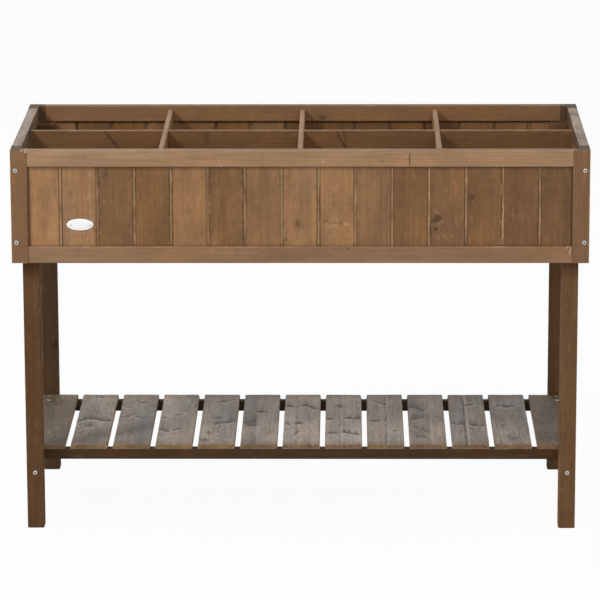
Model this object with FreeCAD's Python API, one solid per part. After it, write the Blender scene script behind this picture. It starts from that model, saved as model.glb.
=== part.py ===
import FreeCAD, Part
import math
import os
from FreeCAD import Placement, Rotation, Vector

# Raised garden bed: a framed box in eight compartments on four legs, over a slatted shelf.
# Millimetres. X runs along the bed, the front faces -Y, Z is up from the ground.

# Whole bed
length = 1230.0
depth = 540.0
height = 840.0
box_height = 245.0

# Framed panels: stiles and rails with a groove all round that holds upright planks
frame_thick = 21.0
frame_width = 36.0
groove_depth = 8.0
edge_ease = 1.5

# Tongued and grooved planks
plank_thick = 10.0
plank_cover = 78.4
plank_bevel = 1.0
seam_gap = 3.6
tongue_reach = 8.0
tongue_thick = 3.4
tongue_play = 0.2

# Legs in the corners of the box
leg_width = 36.0
leg_below_rim = 37.0
foot_taper_height = 1.5
foot_taper = 1.5

# Dividers, halved into each other where they cross
divider_thick = 11.0
divider_below_rim = 8.0
divider_end_gap = 2.0
lap_play = 0.5
cross_divider_pitch = 297.0

# Boarded floor on cleats
cleat_size = 20.0
cleat_rise = 5.0
floor_thick = 10.0
floor_board_count = 12
floor_board_gap = 6.0
floor_clearance = 2.0

# Slatted shelf on two rails, carried by a notched crossbar at each end
shelf_top = 178.5
slat_count = 13
slat_width = 81.0
slat_pitch = 92.2
slat_thick = 10.5
shelf_clearance = 1.0
shelf_rail_width = 22.0
shelf_rail_height = 23.0
crossbar_thick = 20.0
crossbar_end_height = 41.0
notch_play = 0.5

# Hexagon-socket screws, sunk flush
head_diameter = 9.5
head_height = 3.2
head_ease = 0.6
shank_diameter = 5.0
point_length = 5.0
point_radius = 0.4
head_sides = 16
shank_sides = 8
socket_across_flats = 4.0
socket_depth = 2.0
hole_play = 0.25
corner_screw_length = 45.0
corner_screw_from_edge = 44.5
leg_screw_length = 50.0
leg_screw_heights = (655.0, 780.0)
crossbar_screw_length = 70.0
shelf_screw_length = 40.0
shelf_screw_inset = 47.0

# Faces worked out from the sizes above
box_bottom = height - box_height
wall_x = length / 2 - frame_thick
wall_y = depth / 2 - frame_thick
leg_inner_x = wall_x - leg_width
leg_inner_y = wall_y - leg_width
leg_middle_x = wall_x - leg_width / 2
leg_middle_y = wall_y - leg_width / 2
leg_top = height - leg_below_rim
floor_bottom = box_bottom + cleat_rise + cleat_size
floor_top = floor_bottom + floor_thick
divider_top = height - divider_below_rim
slat_bottom = shelf_top - slat_thick
rail_bottom = slat_bottom - shelf_rail_height
crossbar_bottom = rail_bottom - crossbar_end_height
shelf_end_y = leg_inner_y - shelf_clearance
shelf_rail_middle_y = shelf_end_y - shelf_rail_width / 2
shelf_end_x = (slat_count - 1) / 2 * slat_pitch + slat_width / 2
corner_screw_x = length / 2 - frame_thick / 2
corner_screw_heights = (box_bottom + corner_screw_from_edge, height - corner_screw_from_edge)
crossbar_screw_z = crossbar_bottom + crossbar_end_height / 2
shelf_screw_ys = (shelf_rail_middle_y, shelf_end_y - shelf_screw_inset)


def block(low, high):
    """Plain block between two opposite corners."""
    size = high - low
    return Part.makeBox(size.x, size.y, size.z, low)


def eased_rectangle(low_u, low_v, high_u, high_v, ease):
    """Corners of a rectangle whose four corners are cut off at 45 degrees."""
    return [
        (low_u + ease, low_v),
        (high_u - ease, low_v),
        (high_u, low_v + ease),
        (high_u, high_v - ease),
        (high_u - ease, high_v),
        (low_u + ease, high_v),
        (low_u, high_v - ease),
        (low_u, low_v + ease),
    ]


def lift(points, axis, level):
    """Places the points of a section at one level along an axis."""
    if axis == "X":
        return [Vector(level, u, v) for u, v in points]
    if axis == "Y":
        return [Vector(u, level, v) for u, v in points]
    return [Vector(u, v, level) for u, v in points]


def outline(points, axis, level):
    """Closed wire through the points of a section."""
    corners = lift(points, axis, level)
    return Part.makePolygon(corners + corners[:1])


def prism(points, axis, start, end):
    """Section drawn out along an axis from start to end."""
    direction = {"X": Vector(1, 0, 0), "Y": Vector(0, 1, 0), "Z": Vector(0, 0, 1)}[axis]
    return Part.Face(outline(points, axis, start)).extrude(direction * (end - start))


def eased_bar(low, high, axis):
    """Planed bar between two opposite corners, with its four long edges eased."""
    if axis == "X":
        section = eased_rectangle(low.y, low.z, high.y, high.z, edge_ease)
        return prism(section, axis, low.x, high.x)
    if axis == "Y":
        section = eased_rectangle(low.x, low.z, high.x, high.z, edge_ease)
        return prism(section, axis, low.y, high.y)
    section = eased_rectangle(low.x, low.y, high.x, high.y, edge_ease)
    return prism(section, axis, low.z, high.z)


def regular_polygon(radius, sides):
    """Corners of a regular polygon about the middle."""
    step = 2 * math.pi / sides
    return [(radius * math.cos(i * step), radius * math.sin(i * step)) for i in range(sides)]


def tapered(low_radius, low_z, high_radius, high_z, sides):
    """Upright facetted cone between two levels."""
    low = outline(regular_polygon(low_radius, sides), "Z", low_z)
    high = outline(regular_polygon(high_radius, sides), "Z", high_z)
    return Part.makeLoft([low, high], True, True)


def make_screw(screw_length):
    """Screw pointing down from the middle of its head, with a hexagon socket."""
    head_radius = head_diameter / 2
    shank_radius = shank_diameter / 2
    point_top = point_length - screw_length
    crown = tapered(head_radius, -head_ease, head_radius - head_ease, 0, head_sides)
    head = prism(regular_polygon(head_radius, head_sides), "Z", -head_height, -head_ease)
    shank = prism(regular_polygon(shank_radius, shank_sides), "Z", point_top, -head_height)
    point = tapered(point_radius, -screw_length, shank_radius, point_top, shank_sides)
    body = head.fuse([crown, shank, point]).removeSplitter()
    socket_radius = socket_across_flats / 2 / math.cos(math.pi / 6)
    return body.cut(prism(regular_polygon(socket_radius, 6), "Z", -socket_depth, 0))


def make_screw_hole(screw_length):
    """Stepped hole that takes such a screw with a little play round it."""
    seat_section = regular_polygon(head_diameter / 2 + hole_play, head_sides)
    pilot_section = regular_polygon(shank_diameter / 2 + hole_play, shank_sides)
    seat = prism(seat_section, "Z", -head_height, 0)
    pilot = prism(pilot_section, "Z", -screw_length - hole_play, -head_height)
    return seat.fuse(pilot).removeSplitter()


def aim(shape, place, direction):
    """Turns a screw or hole to point along a direction, with its head at a place."""
    turned = shape.copy()
    turned.Placement = Placement(place, Rotation(Vector(0, 0, -1), direction))
    return turned


def drill(shape, screw_length, places):
    """Cuts a screw hole at each place, given as the head's place and its direction."""
    hole = make_screw_hole(screw_length)
    for place, direction in places:
        shape = shape.cut(aim(hole, place, direction))
    return shape


def make_rail(clear_length):
    """Rail along X between two stiles: groove underneath and a stub tenon at each end."""
    half = clear_length / 2
    end = half + groove_depth
    half_thick = frame_thick / 2
    half_groove = plank_thick / 2
    rail = eased_bar(Vector(-end, -half_thick, 0), Vector(end, half_thick, frame_width), "X")
    groove = block(Vector(-end, -half_groove, 0), Vector(end, half_groove, groove_depth))
    rail = rail.cut(groove)
    for low_x, high_x in ((-end, -half), (half, end)):
        shoulder = block(Vector(low_x, -half_thick, 0), Vector(high_x, half_thick, frame_width))
        tenon = block(
            Vector(low_x, -half_groove, groove_depth),
            Vector(high_x, half_groove, frame_width),
        )
        rail = rail.cut(shoulder.cut(tenon))
    return rail


def make_stile():
    """Stile standing at X = 0, with the groove in its far edge towards +X."""
    half_thick = frame_thick / 2
    half_groove = plank_thick / 2
    stile = eased_bar(Vector(0, -half_thick, 0), Vector(frame_width, half_thick, box_height), "Z")
    groove = block(
        Vector(frame_width - groove_depth, -half_groove, 0),
        Vector(frame_width, half_groove, box_height),
    )
    return stile.cut(groove)


def plank_section(left, right, is_first, is_last):
    """Outline of one plank: bevelled edges, groove on its left and tongue on its right."""
    face = plank_thick / 2
    tongue = tongue_thick / 2
    slot = tongue + tongue_play
    slot_end = left + tongue_reach
    tongue_end = right + tongue_reach
    if is_last:
        points = [(right, -face), (right, face)]
    else:
        points = [
            (right - plank_bevel, -face),
            (right, plank_bevel - face),
            (right, -tongue),
            (tongue_end, -tongue),
            (tongue_end, tongue),
            (right, tongue),
            (right, face - plank_bevel),
            (right - plank_bevel, face),
        ]
    if is_first:
        return points + [(left, face), (left, -face)]
    return points + [
        (left + plank_bevel, face),
        (left, face - plank_bevel),
        (left, slot),
        (slot_end, slot),
        (slot_end, -slot),
        (left, -slot),
        (left, plank_bevel - face),
        (left + plank_bevel, -face),
    ]


def make_planks(clear_width):
    """Row of planks that fills a panel: whole ones in the middle, ripped ones at both ends."""
    whole = int(clear_width // plank_cover) - 1
    seams = [(step - whole / 2) * plank_cover for step in range(whole + 1)]
    reach = clear_width / 2 + groove_depth
    low_z = frame_width - groove_depth
    high_z = box_height - low_z
    planks = []
    for step in range(whole + 2):
        is_first = step == 0
        is_last = step == whole + 1
        left = -reach if is_first else seams[step - 1] + seam_gap / 2
        right = reach if is_last else seams[step] - seam_gap / 2
        planks.append(prism(plank_section(left, right, is_first, is_last), "Z", low_z, high_z))
    return Part.makeCompound(planks)


def make_panel(panel_width, turn, middle, names):
    """One framed wall, outside towards -Y before it is turned about Z and set in its place.

    The names are those of its first stile (at -X before turning) and its last stile, and the
    prefix of its rails and planks.
    """
    first_stile, last_stile, prefix = names
    clear_width = panel_width - 2 * frame_width
    left_stile = make_stile()
    left_stile.translate(Vector(-panel_width / 2, 0, 0))
    right_stile = make_stile()
    right_stile.rotate(Vector(0, 0, 0), Vector(0, 0, 1), 180)
    right_stile.translate(Vector(panel_width / 2, 0, 0))
    top_rail = make_rail(clear_width)
    top_rail.translate(Vector(0, 0, box_height - frame_width))
    bottom_rail = make_rail(clear_width)
    bottom_rail.rotate(Vector(0, 0, frame_width / 2), Vector(1, 0, 0), 180)
    pieces = {
        first_stile: left_stile,
        last_stile: right_stile,
        prefix + "_top_rail": top_rail,
        prefix + "_bottom_rail": bottom_rail,
        prefix + "_planks": make_planks(clear_width),
    }
    for piece in pieces.values():
        piece.rotate(Vector(0, 0, 0), Vector(0, 0, 1), turn)
        piece.translate(middle)
    return pieces


def corner_screw_places(side_x, side_y):
    """Two screws through the end of a long panel into the edge of a side panel."""
    inwards = Vector(0, -side_y, 0)
    return [
        (Vector(side_x * corner_screw_x, side_y * depth / 2, level), inwards)
        for level in corner_screw_heights
    ]


def leg_screw_places(side_x, side_y):
    """Two screws from inside the box through a leg into the stile of the side panel."""
    outwards = Vector(side_x, 0, 0)
    return [
        (Vector(side_x * leg_inner_x, side_y * leg_middle_y, level), outwards)
        for level in leg_screw_heights
    ]


def crossbar_screw_places(side_x, side_y):
    """One long screw through a leg into the end of its crossbar."""
    place = Vector(side_x * leg_middle_x, side_y * wall_y, crossbar_screw_z)
    return [(place, Vector(0, -side_y, 0))]


def shelf_screw_places(side_x, side_y):
    """Two screws through the end slat: one over the shelf rail, one over the crossbar."""
    down = Vector(0, 0, -1)
    return [(Vector(side_x * leg_middle_x, side_y * y, shelf_top), down) for y in shelf_screw_ys]


def make_leg(side_x, side_y):
    """Square leg with eased edges and a tapered foot, drilled for its screws."""
    middle_x = side_x * leg_middle_x
    middle_y = side_y * leg_middle_y

    def square(half):
        return eased_rectangle(
            middle_x - half, middle_y - half, middle_x + half, middle_y + half, edge_ease
        )

    foot_half = leg_width / 2 - foot_taper
    sole = outline(square(foot_half), "Z", 0)
    ankle = outline(square(leg_width / 2), "Z", foot_taper_height)
    foot = Part.makeLoft([sole, ankle], True, True)
    post = prism(square(leg_width / 2), "Z", foot_taper_height, leg_top)
    leg = post.fuse(foot).removeSplitter()
    leg = drill(leg, leg_screw_length, leg_screw_places(side_x, side_y))
    return drill(leg, crossbar_screw_length, crossbar_screw_places(side_x, side_y))


def make_crossbar(side_x):
    """Bar from leg to leg under one end of the shelf, notched at both ends for the rails."""
    seat_y = shelf_end_y - shelf_rail_width - notch_play
    profile = [
        (-leg_inner_y, crossbar_bottom),
        (leg_inner_y, crossbar_bottom),
        (leg_inner_y, rail_bottom),
        (seat_y, rail_bottom),
        (seat_y, slat_bottom),
        (-seat_y, slat_bottom),
        (-seat_y, rail_bottom),
        (-leg_inner_y, rail_bottom),
    ]
    middle_x = side_x * leg_middle_x
    crossbar = prism(profile, "X", middle_x - crossbar_thick / 2, middle_x + crossbar_thick / 2)
    for side_y in (-1, 1):
        crossbar = drill(crossbar, crossbar_screw_length, crossbar_screw_places(side_x, side_y))
        crossbar = drill(crossbar, shelf_screw_length, shelf_screw_places(side_x, side_y))
    return crossbar


def make_shelf_rail(side_y):
    """Long rail under the slats, lying in the notches of both crossbars."""
    middle_y = side_y * shelf_rail_middle_y
    rail = eased_bar(
        Vector(-shelf_end_x, middle_y - shelf_rail_width / 2, rail_bottom),
        Vector(shelf_end_x, middle_y + shelf_rail_width / 2, slat_bottom),
        "X",
    )
    for side_x in (-1, 1):
        rail = drill(rail, shelf_screw_length, shelf_screw_places(side_x, side_y))
    return rail


def make_slat(step):
    """One slat of the shelf, front to back, with screw holes in the end ones."""
    middle_x = (step - (slat_count - 1) / 2) * slat_pitch
    slat = eased_bar(
        Vector(middle_x - slat_width / 2, -shelf_end_y, slat_bottom),
        Vector(middle_x + slat_width / 2, shelf_end_y, shelf_top),
        "Y",
    )
    if step in (0, slat_count - 1):
        side_x = -1 if step == 0 else 1
        for side_y in (-1, 1):
            slat = drill(slat, shelf_screw_length, shelf_screw_places(side_x, side_y))
    return slat


def make_long_cleat(side_y):
    """Cleat along the foot of a long panel, from leg to leg."""
    inner = wall_y - cleat_size
    low_y, high_y = sorted((side_y * inner, side_y * wall_y))
    reach = leg_inner_x - floor_clearance
    return eased_bar(
        Vector(-reach, low_y, floor_bottom - cleat_size), Vector(reach, high_y, floor_bottom), "X"
    )


def make_side_cleat(side_x):
    """Cleat along the foot of a side panel, from leg to leg."""
    inner = wall_x - cleat_size
    low_x, high_x = sorted((side_x * inner, side_x * wall_x))
    reach = leg_inner_y - floor_clearance
    return eased_bar(
        Vector(low_x, -reach, floor_bottom - cleat_size), Vector(high_x, reach, floor_bottom), "Y"
    )


def make_floor_boards():
    """Spaced floor boards between the legs, and a narrow one beyond them at each end."""
    reach_x = leg_inner_x - floor_clearance
    reach_y = wall_y - floor_clearance
    pitch = (2 * reach_x + floor_board_gap) / floor_board_count
    boards = []
    for step in range(floor_board_count):
        left = step * pitch - reach_x
        boards.append(eased_bar(
            Vector(left, -reach_y, floor_bottom),
            Vector(left + pitch - floor_board_gap, reach_y, floor_top),
            "Y",
        ))
    end_y = leg_inner_y - floor_clearance
    for side_x in (-1, 1):
        near_x = side_x * (leg_inner_x + floor_clearance)
        far_x = side_x * (wall_x - floor_clearance)
        boards.append(eased_bar(
            Vector(min(near_x, far_x), -end_y, floor_bottom),
            Vector(max(near_x, far_x), end_y, floor_top),
            "Y",
        ))
    return Part.makeCompound(boards)


def make_long_divider():
    """Divider along the middle of the bed, slotted from above for the cross dividers."""
    reach = wall_x - divider_end_gap
    half = divider_thick / 2
    slot_half = half + lap_play
    slot_floor = (floor_top + divider_top) / 2 - lap_play
    divider = eased_bar(Vector(-reach, -half, floor_top), Vector(reach, half, divider_top), "X")
    for step in (-1, 0, 1):
        middle_x = step * cross_divider_pitch
        divider = divider.cut(block(
            Vector(middle_x - slot_half, -half, slot_floor),
            Vector(middle_x + slot_half, half, divider_top),
        ))
    return divider


def make_cross_divider(step):
    """Divider from front to back, slotted from below to straddle the long one."""
    reach = wall_y - divider_end_gap
    half = divider_thick / 2
    slot_half = half + lap_play
    slot_roof = (floor_top + divider_top) / 2 + lap_play
    middle_x = step * cross_divider_pitch
    divider = eased_bar(
        Vector(middle_x - half, -reach, floor_top), Vector(middle_x + half, reach, divider_top), "Y"
    )
    return divider.cut(block(
        Vector(middle_x - half, -slot_half, floor_top),
        Vector(middle_x + half, slot_half, slot_roof),
    ))


def make_screws(screw_length, places_of):
    """All the screws of one kind, at the places that each corner of the bed gives."""
    screw = make_screw(screw_length)
    screws = []
    for side_x, side_y in corners:
        for place, direction in places_of(side_x, side_y):
            screws.append(aim(screw, place, direction))
    return Part.makeCompound(screws)


side_names = {-1: "left", 1: "right"}
end_names = {-1: "front", 1: "back"}
corners = [(side_x, side_y) for side_x in (-1, 1) for side_y in (-1, 1)]

# The four walls
long_middle = depth / 2 - frame_thick / 2
short_middle = length / 2 - frame_thick / 2
short_width = depth - 2 * frame_thick
nodes = {}
nodes.update(make_panel(
    length, 0, Vector(0, -long_middle, box_bottom),
    ("front_left_stile", "front_right_stile", "front"),
))
nodes.update(make_panel(
    length, 180, Vector(0, long_middle, box_bottom),
    ("back_right_stile", "back_left_stile", "back"),
))
nodes.update(make_panel(
    short_width, -90, Vector(-short_middle, 0, box_bottom),
    ("left_side_back_stile", "left_side_front_stile", "left_side"),
))
nodes.update(make_panel(
    short_width, 90, Vector(short_middle, 0, box_bottom),
    ("right_side_front_stile", "right_side_back_stile", "right_side"),
))

# Legs, and the screw holes of each corner
for side_x, side_y in corners:
    side = side_names[side_x]
    end = end_names[side_y]
    nodes[f"{end}_{side}_leg"] = make_leg(side_x, side_y)
    through_stile = f"{end}_{side}_stile"
    edge_stile = f"{side}_side_{end}_stile"
    corner_places = corner_screw_places(side_x, side_y)
    nodes[through_stile] = drill(nodes[through_stile], corner_screw_length, corner_places)
    nodes[edge_stile] = drill(nodes[edge_stile], corner_screw_length, corner_places)
    leg_places = leg_screw_places(side_x, side_y)
    nodes[edge_stile] = drill(nodes[edge_stile], leg_screw_length, leg_places)

# Floor
for side_y, end in end_names.items():
    nodes[f"{end}_floor_cleat"] = make_long_cleat(side_y)
for side_x, side in side_names.items():
    nodes[f"{side}_floor_cleat"] = make_side_cleat(side_x)
nodes["floor_boards"] = make_floor_boards()

# Dividers
nodes["long_divider"] = make_long_divider()
for step, name in ((-1, "left"), (0, "middle"), (1, "right")):
    nodes[f"{name}_cross_divider"] = make_cross_divider(step)

# Shelf
for side_x, side in side_names.items():
    nodes[f"{side}_shelf_crossbar"] = make_crossbar(side_x)
for side_y, end in end_names.items():
    nodes[f"{end}_shelf_rail"] = make_shelf_rail(side_y)
for step in range(slat_count):
    nodes[f"shelf_slat_{step + 1:02d}"] = make_slat(step)

# Screws
nodes["corner_screws"] = make_screws(corner_screw_length, corner_screw_places)
nodes["leg_screws"] = make_screws(leg_screw_length, leg_screw_places)
nodes["crossbar_screws"] = make_screws(crossbar_screw_length, crossbar_screw_places)
nodes["shelf_screws"] = make_screws(shelf_screw_length, shelf_screw_places)

os.makedirs("parts", exist_ok=True)
for name, shape in nodes.items():
    shape.exportStep(os.path.join("parts", name + ".step"))
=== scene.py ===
import math
import random

import bmesh
import bpy
from mathutils import Euler, Matrix, Vector
from mathutils.noise import noise


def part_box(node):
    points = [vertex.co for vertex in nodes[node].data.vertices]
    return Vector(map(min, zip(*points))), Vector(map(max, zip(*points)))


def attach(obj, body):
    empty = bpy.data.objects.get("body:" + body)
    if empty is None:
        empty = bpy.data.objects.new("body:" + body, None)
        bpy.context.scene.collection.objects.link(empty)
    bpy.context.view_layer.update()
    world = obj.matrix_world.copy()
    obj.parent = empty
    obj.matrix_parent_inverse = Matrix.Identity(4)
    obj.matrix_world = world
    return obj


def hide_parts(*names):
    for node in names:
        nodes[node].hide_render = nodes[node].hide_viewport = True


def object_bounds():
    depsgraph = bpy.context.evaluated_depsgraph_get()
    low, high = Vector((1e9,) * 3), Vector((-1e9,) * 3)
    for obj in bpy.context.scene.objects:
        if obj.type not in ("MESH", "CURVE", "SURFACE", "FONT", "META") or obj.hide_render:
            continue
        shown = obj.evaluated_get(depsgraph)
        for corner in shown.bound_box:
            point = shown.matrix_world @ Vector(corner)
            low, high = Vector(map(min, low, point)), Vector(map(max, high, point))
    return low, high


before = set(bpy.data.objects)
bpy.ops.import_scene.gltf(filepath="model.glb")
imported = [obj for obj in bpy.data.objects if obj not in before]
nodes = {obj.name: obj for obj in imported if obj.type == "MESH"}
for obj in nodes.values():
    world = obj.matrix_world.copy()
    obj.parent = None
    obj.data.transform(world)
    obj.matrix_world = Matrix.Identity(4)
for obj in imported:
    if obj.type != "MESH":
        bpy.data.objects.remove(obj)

# A raised garden bed of brown stained fir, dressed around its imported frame.
# Metres, +X to the right along the front, +Y to the back, +Z up, the floor at 0.

cad_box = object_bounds()

# Camera, as the photograph sees the bed
camera_place = (0.100, -8.1542, 2.3923)
camera_pitch = math.radians(13.396)
camera_yaw = math.radians(0.731)
camera_roll = math.radians(-0.164)
camera_lens = 227.67
camera_reach = 100.0

# Light
floor_size = 60.0
floor_colour = (0.6, 0.6, 0.6, 1)
floor_white_share = 0.95
world_light = 0.38
aim_point = (0.0, 0.0, 0.55)
# Lamps, as (name, place, size, power)
lamps = (
    ("key", (-3.6, -2.4, 4.3), 0.9, 200.0),
    ("fill", (1.2, -4.6, 4.4), 3.2, 108.0),
    ("back", (-1.2, 3.6, 4.4), 2.6, 80.0),
    ("side", (4.8, 0.5, 1.7), 2.0, 60.0),
)

# Stain, as linear colours; some of them are painted shade or sheen on the boards that take them
stains_and_shades = {
    "honey": (0.301, 0.155, 0.064),
    "tan": (0.277, 0.144, 0.063),
    "brown": (0.222, 0.114, 0.048),
    "umber": (0.190, 0.094, 0.036),
    "walnut": (0.149, 0.071, 0.026),
    "russet": (0.179, 0.087, 0.031),
    "ginger": (0.248, 0.125, 0.052),
    "chestnut": (0.142, 0.072, 0.031),
    "cocoa": (0.178, 0.092, 0.040),
    "loam": (0.110, 0.062, 0.030),
    "bark": (0.098, 0.047, 0.019),
    "peat": (0.074, 0.039, 0.018),
    "dusk": (0.057, 0.027, 0.010),
    "soot": (0.056, 0.040, 0.027),
    "pale": (0.320, 0.186, 0.096),
    "faded": (0.240, 0.130, 0.064),
    "amber": (0.180, 0.084, 0.026),
    "grey": (0.164, 0.134, 0.109),
    "weathered_and_sheen": (0.146, 0.104, 0.075),
    "ashen": (0.188, 0.134, 0.094),
    "rind": (0.190, 0.116, 0.058),
    "dun": (0.080, 0.055, 0.034),
    "pitch": (0.031, 0.019, 0.010),
}
# Bare wood, scars and streaks; the tongue's wood is also painted light, and the pooled stain and the
# scars also painted shade
raw_wood = (0.54, 0.37, 0.22)
silver_wood = (0.46, 0.39, 0.33)
lit_tongue_wood = (0.64, 0.40, 0.21)
seam_stain_and_shade = (0.075, 0.036, 0.010)
plank_scar_and_shade = (0.040, 0.019, 0.005)
slat_scar_and_shade = (0.036, 0.028, 0.023)
crack_brown = (0.030, 0.016, 0.008)
rust_red = (0.300, 0.115, 0.040)
amber_wood = (0.370, 0.180, 0.052)

# Growth rings, the height of the fibres, and how far the grain shifts with a board's seed
ring_width = 0.0048
ring_ragged = 0.007
fibre_height = 0.0005
shift_per_seed = 17.0
# Where the pith of the rings lies beside a board, and how it wanders and leans
pith_aside = 0.06
pith_wander = 0.02
pith_least = 0.012
pith_spread = 0.05
pith_lean = 0.04
# Knots: how they are drawn out along the grain, the cells to a metre that may hold one, their radii,
# and the distance in radii that stands for no knot
knot_stretch = 0.7
knot_cells = (5.5, 13.0)
knot_least = 0.003
knot_spread = 0.006
no_knot = 99.0
# How far worn edges, their nicks and soaked ends reach into a board
worn_reach = 0.0009
nick_reach = 0.0038
soak_reach = 0.045
soak_ragged = 0.03
# Where pooled stain and painted shade, torn specks and pale chips along a plank's edges are full, and
# where they end
seam_shade_limits = (0.0014, 0.0042)
seam_shade_ragged = 0.0025
speck_limits = (0.002, 0.009)
pale_limits = (0.001, 0.007)
# Thickness of a panel's boards, and the middle of the front panel's
board_depth = 0.021
front_y = cad_box[0][1] + board_depth / 2
# Distances from the middle of a plank's thickness: where its bare tongue, lightened as painted light,
# ends, where its faces begin
tongue_limits = (0.0018, 0.0024)
face_limit = 0.003
# Angles past which an edge is sharp, and the distance at which points are one
board_sharp = math.radians(28)
turned_sharp = math.radians(35)
weld = 1e-6
draw_seed = 7


class Shader:
    """The nodes of a material or a world, added by short calls that give back output sockets."""

    def __init__(self, owner, surface="Principled BSDF"):
        owner.use_nodes = True
        self.owner = owner
        self.tree = owner.node_tree
        self.surface = self.tree.nodes[surface]

    def feed(self, socket, value):
        if isinstance(value, bpy.types.NodeSocket):
            self.tree.links.new(value, socket)
        else:
            socket.default_value = value

    def fill(self, made, inputs):
        for socket, value in dict(inputs).items():
            self.feed(made.inputs[socket], value)

    def node(self, kind, inputs=(), **settings):
        made = self.tree.nodes.new("ShaderNode" + kind)
        for key, value in settings.items():
            setattr(made, key, value)
        self.fill(made, inputs)
        return made

    def math(self, operation, *values):
        return self.node("Math", enumerate(values), operation=operation).outputs[0]

    def plus(self, first, second):
        return self.math("ADD", first, second)

    def times(self, first, second):
        return self.math("MULTIPLY", first, second)

    def vector(self, operation, *values):
        made = self.node("VectorMath", enumerate(values), operation=operation)
        return made.outputs["Value" if operation == "LENGTH" else "Vector"]

    def split(self, value):
        return list(self.node("SeparateXYZ", {0: value}).outputs)

    def join(self, x, y, z):
        return self.node("CombineXYZ", {0: x, 1: y, 2: z}).outputs[0]

    def own(self, name, output):
        """A property of the piece that wears the material."""
        made = self.node("Attribute", attribute_type="OBJECT", attribute_name=name)
        return made.outputs[output]

    def painted(self, name):
        """A value painted on the points of the mesh."""
        made = self.node("Attribute", attribute_type="GEOMETRY", attribute_name=name)
        return made.outputs["Fac"]

    def rise(self, value, low, high, start=0.0, end=1.0):
        """A smooth step from start, below low, to end, above high."""
        made = self.node(
            "MapRange",
            {0: value, 1: low, 2: high, 3: start, 4: end},
            interpolation_type="SMOOTHSTEP",
        )
        return made.outputs[0]

    def noise(self, vector, detail=2.0, roughness=0.5):
        inputs = {"Vector": vector, "Scale": 1.0, "Detail": detail, "Roughness": roughness}
        return self.node("TexNoise", inputs).outputs[0]

    def blend(self, factor, first, second):
        made = self.node("Mix", {0: factor, 6: first, 7: second}, data_type="RGBA")
        return made.outputs[2]

    def dim(self, colour, factor):
        """The colour times a grey factor."""
        return self.vector("MULTIPLY", colour, self.join(factor, factor, factor))

    def in_view(self):
        """1 to the camera, mirrors and glass, 0 where only light is gathered."""
        path = self.node("LightPath")
        seen = self.math("MAXIMUM", path.outputs["Is Camera Ray"], path.outputs["Is Glossy Ray"])
        return self.math("MAXIMUM", seen, path.outputs["Is Transmission Ray"])


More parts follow.
